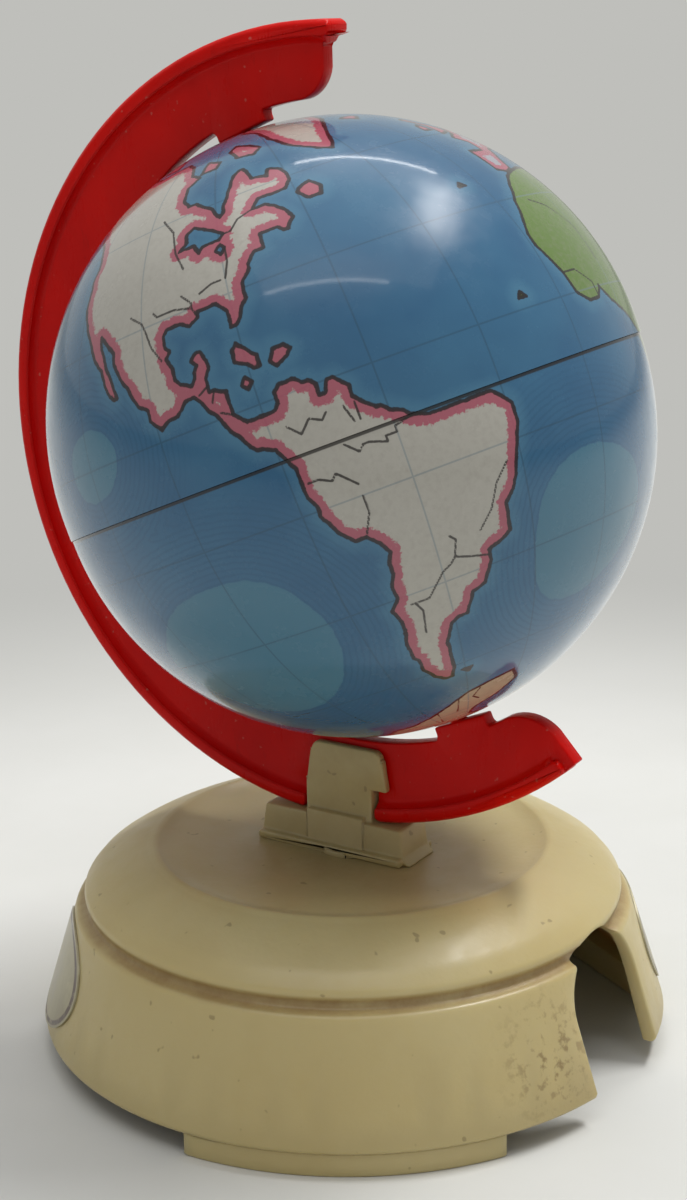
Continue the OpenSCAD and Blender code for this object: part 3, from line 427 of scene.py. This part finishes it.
# Rivers and frontiers, drawn as thin black lines
frontiers = [
    [(-103, 33), (-100, 31), (-99, 29), (-98, 26), (-96, 23)], [(-97, 32), (-96, 31), (-92, 31), (-88, 30),
     (-88, 31), (-90, 33)], [(-88, 30), (-87, 28)], [(-96, 51), (-95, 50), (-92, 47), (-91, 42), (-89, 38)],
    [(-79, 42), (-77, 42), (-75, 44), (-71, 45)], [(-79, 39), (-79, 36), (-80, 33)], [(-86, 32), (-83, 33),
     (-81, 33)], [(-88, 16), (-90, 15)], [(-87, 15), (-88, 13)], [(-87, 11), (-85, 10)],
    [(-69, -1), (-67, -3), (-66, -2), (-65, -2), (-62, -3), (-62, -2), (-60, -2), (-60, -1), (-56, 0)],
    [(-77, -5), (-75, -5), (-73, -6), (-72, -5), (-71, -6), (-69, -8)], [(-69, -10), (-69, -13), (-70, -15),
     (-71, -17)], [(-68, -32), (-64, -32), (-62, -30), (-60, -28), (-58, -27), (-57, -26), (-56, -23), (-57, -22)],
    [(-57, -26), (-54, -27), (-50, -28)], [(-67, -32), (-66, -34), (-67, -39)], [(-43, -13), (-44, -14), (-46, -16),
     (-48, -20), (-51, -23)], [(-77, 5), (-75, 3), (-74, 4), (-73, 5), (-71, 4), (-70, 5)], [(-67, 5), (-66, 2)],
    [(-65, 5), (-65, 2)], [(-10, 29), (-5, 27), (0, 22), (0, 15)], [(-16, 14), (-12, 14), (-8, 11), (-8, 8)],
    [(10, 33), (12, 24), (15, 15), (14, 8), (9, 4)], [(25, 32), (25, 10), (30, 4), (42, -2)], [(12, -6), (20, -8),
     (24, -17), (20, -28)], [(30, 4), (30, -10), (35, -20)], [(5, 46), (8, 48), (14, 49), (24, 49), (30, 46)],
    [(4, 52), (8, 48)], [(20, 55), (24, 49)], [(50, 51), (75, 50), (90, 49), (120, 50), (131, 43)], [(62, 25),
     (66, 31), (74, 36), (80, 31), (92, 28), (98, 16)], [(74, 36), (75, 50)], [(36, 31), (45, 30), (48, 38)],
    [(129, -15), (129, -32)], [(138, -17), (141, -38)], [(-75, -66), (-78, -75)], [(-64, -62), (-66, -70)],
    [(-55, -61), (-58, -64), (-55, -66)]]
# Pale shallows, which the depth lines follow
shallows = [
    [(-117, -18), (-104, -16), (-93, -17), (-86, -24), (-84, -35), (-92, -46), (-108, -50), (-126, -44), (-134, -30)],
    [(-36, -19), (-27, -15), (-15, -17), (-5, -24), (-5, -36), (-20, -44), (-33, -44), (-40, -39), (-40, -28)],
    [(-128, 14), (-118, 18), (-110, 13), (-114, 5), (-126, 4)], [(-160, 30), (-145, 45), (-165, 48), (-178, 36)],
    [(-170, -5), (-150, 0), (-150, -20), (-172, -22)], [(60, -5), (80, -2), (88, -15), (75, -30), (60, -22)],
    [(155, 15), (175, 20), (178, 38), (158, 34)]]
# Two cuts of each corner round them
for cut in range(2):
    shallows = [[(a + (c - a) * t, b + (d - b) * t) for (a, b), (c, d) in zip(shape, shape[1:] + shape[:1])
                 for t in (0.25, 0.75)] for shape in shallows]
polar = Vector((0, math.sin(math.radians(23)), math.cos(math.radians(23))))
globe_centre = Vector((0, -0.00125, 0.0697))
map_turn = math.radians(-79)
# Millimetres: the lower half's radius, and the upper half's, which laps over it and is centred higher
low_radius, high_radius, high_middle = 32.5, 32.65, 1.8
globe_axes = np.array(((1, 0, 0), polar.cross(Vector((1, 0, 0))), polar))


def on_sphere(points):
    """Unit headings of points given as longitude and latitude, in the globe's own axes."""
    lon, lat = np.radians(np.array(points, float)).T
    lon = lon + map_turn
    return np.stack((np.cos(lat) * np.cos(lon), np.cos(lat) * np.sin(lon), np.sin(lat)), 1)


def to_lines(points, lines, closed):
    """Distance in millimetres on the globe from each point to the nearest printed line."""
    step, batch = 10, 1500
    starts, ends = [], []
    for line in lines:
        fine = []
        for (a, b), (c, d) in zip(line, line[1:] + line[:1] if closed else line[1:]):
            count = max(1, math.ceil(math.hypot(c - a, d - b) / step))
            fine += [(a + (c - a) * k / count, b + (d - b) * k / count) for k in range(count)]
        fine = on_sphere(fine if closed else fine + line[-1:])
        starts.append(fine if closed else fine[:-1])
        ends.append(np.roll(fine, -1, 0) if closed else fine[1:])
    a, b = np.concatenate(starts), np.concatenate(ends)
    along = b - a
    length = (along ** 2).sum(1)
    start_along, start_square = (a * along).sum(1), (a * a).sum(1)
    best = np.empty(len(points))
    for k in range(0, len(points), batch):
        p = points[k:k + batch]
        ahead_of = p @ along.T - start_along
        share = np.clip(ahead_of / length, 0, 1)
        square = 1 + start_square - 2 * (p @ a.T) - share * (2 * ahead_of - share * length)
        best[k:k + batch] = np.sqrt(np.maximum(square.min(1), 0))
    return best * low_radius


def inside(points, shapes):
    """Which headings lie within the closed shapes, also where a shape crosses 180 degrees."""
    lat = np.degrees(np.arcsin(np.clip(points[:, 2], -1, 1)))
    lon = np.degrees(np.arctan2(points[:, 1], points[:, 0]) - map_turn)
    held = np.zeros(len(points), bool)
    for shift in (-360, 0, 360):
        x = lon + shift
        for shape in shapes:
            for (a, b), (c, d) in zip(shape, shape[1:] + shape[:1]):
                if b != d:
                    held ^= ((b > lat) != (d > lat)) & (x < a + (c - a) * (lat - b) / (d - b))
    return held


closed_coasts = [americas, africa, australia] + islands + lakes
open_coasts = [europe[europe.index((41, 41)):] + europe[:europe.index((60, 69)) + 1],
               asia[:asia.index((41, 41)) + 1], antarctica]
south_land = antarctica + [(180, -90), (-180, -90)]
# Printed ink of each land: (outline, colour)
land_inks = [(americas, "#aeaba2"), (africa, "#5f7a39"), (europe, "#9a9aa5"), (asia, "#b39c62"),
             (australia, "#a97c86"), (south_land, "#b7a78c")]


def printed(points):
    """The map's fields: millimetres inland, to the nearest thin line, and into the shallows."""
    coast = np.minimum(to_lines(points, closed_coasts, True), to_lines(points, open_coasts, False))
    lands = [americas, africa, europe, asia, australia, south_land] + islands
    ashore = inside(points, lands) & ~inside(points, lakes)
    shelf = to_lines(points, shallows, True)
    return (np.where(ashore, coast, -coast), to_lines(points, frontiers, False),
            np.where(inside(points, shallows), shelf, -shelf))


def tin_half(name, radius, middle, profile, node):
    """A closed shell, turned round the polar axis and made finer along the printed lines.

    Each profile point is (radius, height, kind): 1 on the outer sphere, 2 on the outer
    band, 3 on the ring between them and 0 elsewhere. A side is halved where it is longer
    than finest, in millimetres, plus growth times its distance from a printed line."""
    columns, finest, growth = 120, 0.31, 0.5
    angle = np.arange(columns) * 2 * np.pi / columns
    ring = np.stack((np.cos(angle), np.sin(angle)), 1)
    points = np.array([(r * c, r * s, z) for r, z, kind in profile for c, s in ring])
    kinds = np.repeat([kind for r, z, kind in profile], columns)
    faces = []
    for row in range(len(profile)):
        low, high = row * columns, (row + 1) % len(profile) * columns
        for k in range(columns):
            n = (k + 1) % columns
            faces += [(low + k, low + n, high + n), (low + k, high + n, high + k)]
    faces = np.array(faces)
    fields = printed(points / np.linalg.norm(points, axis=1)[:, None])
    for level in range(7):
        edges = np.sort(np.concatenate((faces[:, :2], faces[:, 1:], faces[:, ::2])), 1)
        edges, where = np.unique(edges, axis=0, return_inverse=True)
        a, b = edges.T
        length = np.linalg.norm(points[a] - points[b], axis=1)
        near = np.minimum(np.abs(fields[0]), fields[1])
        near = np.minimum(near[a], near[b])
        cut = (kinds[a] > 0) & (kinds[b] > 0) & (length > finest + growth * np.maximum(near - length, 0))
        if not cut.any():
            break
        fresh = (points[a[cut]] + points[b[cut]]) / 2
        both = np.where(kinds[a] == 3, kinds[b], kinds[a])[cut]
        domed = both == 1
        away = fresh[domed] - (0, 0, middle)
        fresh[domed] = (0, 0, middle) + away * (radius / np.linalg.norm(away, axis=1))[:, None]
        flat = fresh[~domed, :2]
        fresh[~domed, :2] = flat * (radius / np.linalg.norm(flat, axis=1))[:, None]
        index = np.full(len(edges), -1)
        index[cut] = len(points) + np.arange(cut.sum())
        middles = index[where].reshape(3, -1).T
        extra = printed(fresh / np.linalg.norm(fresh, axis=1)[:, None])
        points, kinds = np.concatenate((points, fresh)), np.concatenate((kinds, both))
        fields = [np.concatenate(pair) for pair in zip(fields, extra)]
        count = (middles >= 0).sum(1)
        out = [faces[count == 0]]
        x, y, z = faces[count == 3].T
        xy, yz, xz = middles[count == 3].T
        out += [np.stack(t, 1) for t in ((x, xy, xz), (xy, y, yz), (xz, yz, z), (xy, yz, xz))]
        # The middles hold the sides 0-1, 1-2 and 0-2 of each face
        for k in range(3):
            x, y, z = np.roll(faces, -k, 1).T
            m, n = middles[:, k], middles[:, (k + 1) % 3]
            one, two = (count == 1) & (m >= 0), (count == 2) & (m >= 0) & (n >= 0)
            out += [np.stack((p[one], q[one], r[one]), 1) for p, q, r in ((x, m, z), (m, y, z))]
            out += [np.stack((p[two], q[two], r[two]), 1) for p, q, r in ((x, m, n), (m, y, n), (x, n, z))]
        faces = np.concatenate(out)
    heading = points / np.linalg.norm(points, axis=1)[:, None]
    mesh = bpy.data.meshes.new(name)
    mesh.from_pydata((points @ globe_axes * 0.001 + np.array(globe_centre)).tolist(), [], faces.tolist())
    for title, values in zip(("coast", "ink", "shelf"), fields):
        mesh.attributes.new(title, "FLOAT", "POINT").data.foreach_set("value", values.astype(np.float32))
    turn_back = np.array(((math.cos(map_turn), -math.sin(map_turn), 0), (math.sin(map_turn), math.cos(map_turn), 0),
                          (0, 0, 1)))
    mesh.attributes.new("heading", "FLOAT_VECTOR", "POINT").data.foreach_set(
        "vector", (heading @ turn_back).astype(np.float32).ravel())
    nearest = np.argmin([to_lines(heading, [shape], True) - 9 * inside(heading, [shape])
                         for shape, ink in land_inks], 0)
    inks = np.array([linear(ink) for shape, ink in land_inks])[nearest]
    mesh.attributes.new("land_ink", "FLOAT_COLOR", "POINT").data.foreach_set("color", inks.astype(np.float32).ravel())
    outward = bmesh.new()
    outward.from_mesh(mesh)
    bmesh.ops.recalc_face_normals(outward, faces=outward.faces)
    outward.to_mesh(mesh)
    outward.free()
    mesh.shade_smooth()
    mesh.set_sharp_from_angle(angle=math.radians(40))
    made = bpy.data.objects.new(name, mesh)
    bpy.context.scene.collection.objects.link(made)
    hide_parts(node)
    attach(made, "globe")
    return made


def arc(radius, middle, first, last, count, kind):
    """Profile points on a sphere from one latitude to another, in degrees."""
    turns = np.radians(np.linspace(first, last, count))
    return [(radius * math.cos(t), middle + radius * math.sin(t), kind) for t in turns]


# Each half ends at a hole for its stud. The lower half's rim steps in and rises inside the upper half's band
sheet, hole_radius = 0.3, 0.95
hole = math.degrees(math.acos(hole_radius / low_radius))
rim_radius, rim_top = 32.32, 2.2
south_half = tin_half(
    "tin_south", low_radius, 0,
    [(rim_radius - sheet, -0.6, 0), (rim_radius - sheet, rim_top, 0), (rim_radius, rim_top, 0), (rim_radius, 0.1, 0)]
    + arc(low_radius, 0, -0.1, -hole, 58, 1) + arc(low_radius - sheet, 0, -hole, -1.2, 24, 0), "globe_south_half")
north_half = tin_half(
    "tin_north", high_radius, high_middle,
    [(high_radius - sheet, 0, 0), (high_radius, 0, 2), (high_radius, 0.6, 2), (high_radius, 1.2, 2),
     (high_radius, high_middle, 3)]
    + arc(high_radius, high_middle, 1.6, hole, 57, 1) + arc(high_radius - sheet, high_middle, hole, 0, 24, 0),
    "globe_north_half")

# Lithographed and varnished tinplate: flat inks under one clear, lightly scuffed gloss
tin, tree, shader = finish_of("lithographed_tinplate", IOR=1.3, Coat_Weight=0.7, Coat_Roughness=0.08)
inland, thin, shelf = (add(tree, "ShaderNodeAttribute", out="Fac", attribute_name=name)
                       for name in ("coast", "ink", "shelf"))
heading = add(tree, "ShaderNodeAttribute", out="Vector", attribute_name="heading")
land_ink = add(tree, "ShaderNodeAttribute", out="Color", attribute_name="land_ink")
# The plates were drawn by hand, so lines waver over 1.2 mm and 0.4 mm
waver = add(tree, "ShaderNodeTexNoise", {"Vector": heading, "Scale": 26, "Detail": 3, "Roughness": 0.6})
waver = add(tree, "ShaderNodeMath", {0: waver, 1: 0.5}, operation="SUBTRACT")
quiver = add(tree, "ShaderNodeTexNoise", {"Vector": heading, "Scale": 80, "Detail": 2, "Roughness": 0.6})
quiver = add(tree, "ShaderNodeMath", {0: quiver, 1: 0.5}, operation="SUBTRACT")
inland = add(tree, "ShaderNodeMath", {0: waver, 1: 0.4, 2: inland}, operation="MULTIPLY_ADD")
shelf = add(tree, "ShaderNodeMath", {0: waver, 1: 0.5, 2: shelf}, operation="MULTIPLY_ADD")
# Sea: a greyed mid blue with depth lines every 0.62 mm round the paler shallows
swell = add(tree, "ShaderNodeTexNoise", {"Vector": heading, "Scale": 3.2, "Detail": 3})
sea = add(tree, "ShaderNodeValToRGB", {0: swell}, stops=[(0.35, "#2a5c80"), (0.7, "#356889")])
line_spacing = 0.62
wave = add(tree, "ShaderNodeMath", {0: shelf, 1: 2 * math.pi / line_spacing}, operation="MULTIPLY")
wave = add(tree, "ShaderNodeMath", {0: wave}, operation="SINE")
wave = add(tree, "ShaderNodeMapRange", {0: wave, 1: -0.8, 2: -0.1, 3: 1.0, 4: 0.0})
reach = add(tree, "ShaderNodeMapRange", {0: shelf, 1: -10.0, 2: -6.0, 3: 0.0, 4: 0.55})
depth_line = add(tree, "ShaderNodeMath", {0: wave, 1: reach}, operation="MULTIPLY")
sea = add(tree, "ShaderNodeMix", {0: depth_line, 6: sea, 7: "#255678"}, out=2, data_type="RGBA")
shoal = add(tree, "ShaderNodeMapRange", {0: shelf, 1: -0.04, 2: 0.04})
sea = add(tree, "ShaderNodeMix", {0: shoal, 6: sea, 7: "#3f728a"}, out=2, data_type="RGBA")
inshore = add(tree, "ShaderNodeMapRange", {0: inland, 1: -1.6, 2: -0.5, 3: 0.0, 4: 0.3})
sea = add(tree, "ShaderNodeMix", {0: inshore, 6: sea, 7: "#5588a0"}, out=2, data_type="RGBA")
# Graticule every 20 degrees, 0.18 mm wide: angles to its nearest parallel and meridian
half_step = math.radians(10)
east, north, sine = (add(tree, "ShaderNodeSeparateXYZ", {0: heading}, out=axis) for axis in "XYZ")
latitude = add(tree, "ShaderNodeMath", {0: sine}, operation="ARCSINE")
longitude = add(tree, "ShaderNodeMath", {0: north, 1: east}, operation="ARCTAN2")
parallel = add(tree, "ShaderNodeMath", {0: latitude, 1: half_step}, operation="ADD")
parallel = add(tree, "ShaderNodeMath", {0: parallel, 1: half_step}, operation="PINGPONG")
meridian = add(tree, "ShaderNodeMath", {0: longitude, 1: half_step}, operation="PINGPONG")
narrowing = add(tree, "ShaderNodeMath", {0: latitude}, operation="COSINE")
meridian = add(tree, "ShaderNodeMath", {0: meridian, 1: narrowing}, operation="MULTIPLY")
nearer = add(tree, "ShaderNodeMath", {0: parallel, 1: meridian}, operation="MINIMUM")
line_edges = 0.06 / low_radius, 0.12 / low_radius
graticule = add(tree, "ShaderNodeMapRange", {0: nearer, 1: line_edges[0], 2: line_edges[1], 3: 0.5, 4: 0.0})
sea = add(tree, "ShaderNodeMix", {0: graticule, 6: sea, 7: "#21475f"}, out=2, data_type="RGBA")
# Land: its own ink with uneven inking, a pink band 1.05 mm wide inside the coast, thin black lines
patchy = add(tree, "ShaderNodeTexNoise", {"Vector": heading, "Scale": 50, "Detail": 5, "Roughness": 0.65})
patchy = add(tree, "ShaderNodeMapRange", {0: patchy, 1: 0.45, 2: 0.8, 3: 0.0, 4: 0.35})
land = add(tree, "ShaderNodeMix", {0: patchy, 6: land_ink, 7: "#8f8a80"}, out=2, data_type="RGBA")
land = add(tree, "ShaderNodeMix", {0: graticule, 6: land, 7: "#6d7f86"}, out=2, data_type="RGBA")
band = add(tree, "ShaderNodeMath", {0: quiver, 1: 0.9, 2: inland}, operation="MULTIPLY_ADD")
band = add(tree, "ShaderNodeMapRange", {0: band, 1: 0.95, 2: 1.1, 3: 0.9, 4: 0.0})
greyness = add(tree, "ShaderNodeSeparateColor", {0: land_ink}, out=2)
greyness = add(tree, "ShaderNodeMath", {0: greyness, 1: 0.3}, operation="GREATER_THAN")
band = add(tree, "ShaderNodeMath", {0: band, 1: greyness}, operation="MULTIPLY")
land = add(tree, "ShaderNodeMix", {0: band, 6: land, 7: "#a3485e"}, out=2, data_type="RGBA")
thin = add(tree, "ShaderNodeMath", {0: quiver, 1: 0.08, 2: thin}, operation="MULTIPLY_ADD")
thin = add(tree, "ShaderNodeMapRange", {0: thin, 1: 0.09, 2: 0.15, 3: 0.9, 4: 0.0})
land = add(tree, "ShaderNodeMix", {0: thin, 6: land, 7: "#231d1c"}, out=2, data_type="RGBA")
ashore = add(tree, "ShaderNodeMapRange", {0: inland, 1: -0.03, 2: 0.03})
tone = add(tree, "ShaderNodeMix", {0: ashore, 6: sea, 7: land}, out=2, data_type="RGBA")
outline = add(tree, "ShaderNodeMath", {0: quiver, 1: 0.15, 2: inland}, operation="MULTIPLY_ADD")
outline = add(tree, "ShaderNodeMath", {0: outline}, operation="ABSOLUTE")
outline = add(tree, "ShaderNodeMapRange", {0: outline, 1: 0.17, 2: 0.24, 3: 0.95, 4: 0.0})
tone = add(tree, "ShaderNodeMix", {0: outline, 6: tone, 7: "#1d1418"}, out=2, data_type="RGBA")
# Seam: a dark line, 0.3 mm wide, under the upper half's cut edge: partly grime, partly painted shadow of the lip
rise = add(tree, "ShaderNodeMath", {0: sine, 1: low_radius}, operation="MULTIPLY")
grime_and_shadow = add(tree, "ShaderNodeMath", {0: rise, 1: 0.17}, operation="ADD")
grime_and_shadow = add(tree, "ShaderNodeMath", {0: grime_and_shadow}, operation="ABSOLUTE")
grime_and_shadow = add(tree, "ShaderNodeMapRange", {0: grime_and_shadow, 1: 0.13, 2: 0.22, 3: 0.85, 4: 0.0})
tone = add(tree, "ShaderNodeMix", {0: grime_and_shadow, 6: tone, 7: "#1c1512"}, out=2, data_type="RGBA")
# Wear: rubbed varnish over 4 mm and hairline scratches 0.1 mm wide that show the primer
rubbed = add(tree, "ShaderNodeTexNoise", {"Vector": heading, "Scale": 8, "Detail": 6, "Roughness": 0.65})
streaks = add(tree, "ShaderNodeMapping", {0: heading, "Rotation": (0.4, 0.9, 0.3), "Scale": (14, 1, 1)})
streaks = add(tree, "ShaderNodeTexNoise", {"Vector": streaks, "Scale": 9, "Detail": 8, "Roughness": 0.75})
scratch = add(tree, "ShaderNodeMapRange", {0: streaks, 1: 0.66, 2: 0.74, 3: 0.0, 4: 0.25})
tone = add(tree, "ShaderNodeMix", {0: scratch, 6: tone, 7: "#9fb0b4"}, out=2, data_type="RGBA")
tree.links.new(tone, shader["Base Color"])
tree.links.new(add(tree, "ShaderNodeMapRange", {0: rubbed, 1: 0.3, 2: 0.75, 3: 0.18, 4: 0.34}), shader["Roughness"])
# Drawing leaves the sheet faintly wavy over 6 mm
dents = add(tree, "ShaderNodeTexNoise", {"Vector": heading, "Scale": 5.5, "Detail": 2})
tree.links.new(add(tree, "ShaderNodeBump", {"Height": dents, "Strength": 0.3, "Distance": 0.0003}), shader["Normal"])
for half in (south_half, north_half):
    half.data.materials.append(tin)

# ---------------------------------------------------------------------------
# Table, wall and lamps: a pale table that turns into the wall's tone away
# from the toy, a soft box overhead with bright strips at its borders, and a
# weak even fill.
# ---------------------------------------------------------------------------
wall = linear("#bfbfbb")
floor_mesh = bpy.data.meshes.new("floor")
reach = 20
corners = [(-reach, -reach, 0), (reach, -reach, 0), (reach, reach, 0), (-reach, reach, 0)]
floor_mesh.from_pydata(corners, [], [(0, 1, 2, 3)])
floor = bpy.data.objects.new("floor", floor_mesh)
bpy.context.scene.collection.objects.link(floor)
# Matt paint on the table: an even pale grey with faint clouds, which keeps the toy's shadow
pale, tree, shader = finish_of("matt_painted_table", Roughness=0.6, IOR=1.4)
at = add(tree, "ShaderNodeTexCoord", out="Object")
marks = add(tree, "ShaderNodeTexNoise", {"Vector": at, "Scale": 30, "Detail": 4, "Roughness": 0.6})
tone = add(tree, "ShaderNodeValToRGB", {0: marks}, stops=[(0.3, "#d3d3ce"), (0.7, "#d8d8d4")])
tree.links.new(tone, shader["Base Color"])
far = add(tree, "ShaderNodeVectorMath", {0: at}, out=1, operation="LENGTH")
far = add(tree, "ShaderNodeMapRange", {0: far, 1: 0.06, 2: 0.2}, interpolation_type="SMOOTHSTEP")
seen = add(tree, "ShaderNodeLightPath", out="Is Camera Ray")
far = add(tree, "ShaderNodeMath", {0: far, 1: seen}, operation="MULTIPLY")
glow = add(tree, "ShaderNodeEmission", {0: wall, 1: 1.0})
both = add(tree, "ShaderNodeMixShader", {0: far, 1: tree.nodes["Principled BSDF"].outputs[0], 2: glow})
tree.links.new(both, tree.nodes["Material Output"].inputs[0])
floor.data.materials.append(pale)

world = bpy.data.worlds.new("studio")
world.use_nodes = True
tree = world.node_tree
camera_ray, glossy_ray, through_ray = (add(tree, "ShaderNodeLightPath", out=name) for name in (
    "Is Camera Ray", "Is Glossy Ray", "Is Transmission Ray"))
seen = add(tree, "ShaderNodeMath", {0: camera_ray, 1: glossy_ray}, operation="ADD")
seen = add(tree, "ShaderNodeMath", {0: seen, 1: through_ray}, operation="ADD", use_clamp=True)
fill = [0.36, 0.36, 0.36, 1]
tone = add(tree, "ShaderNodeMix", {0: seen, 6: fill, 7: wall}, out=2, data_type="RGBA")
tree.links.new(tone, tree.nodes["Background"].inputs[0])
bpy.context.scene.world = world

# Each lamp: name, place as the camera sees it, size, watts
for name, place, size, watts in (
        ("soft_box", (0, 0.05, 0.87), (0.9, 0.9), 1.4), ("right_strip", (0.36, 0.16, 0.87), (0.13, 0.4), 5.6),
        ("back_strip", (0.08, 0.47, 0.87), (0.5, 0.1), 2.2), ("front_strip", (-0.12, -0.36, 0.87), (0.66, 0.12), 1.4)):
    data = bpy.data.lights.new(name, "AREA")
    data.shape = "RECTANGLE"
    data.size, data.size_y = size
    data.energy = watts
    lamp = bpy.data.objects.new(name, data)
    lamp.location = turned(*place)
    lamp.rotation_euler = (0, 0, turn)
    bpy.context.scene.collection.objects.link(lamp)
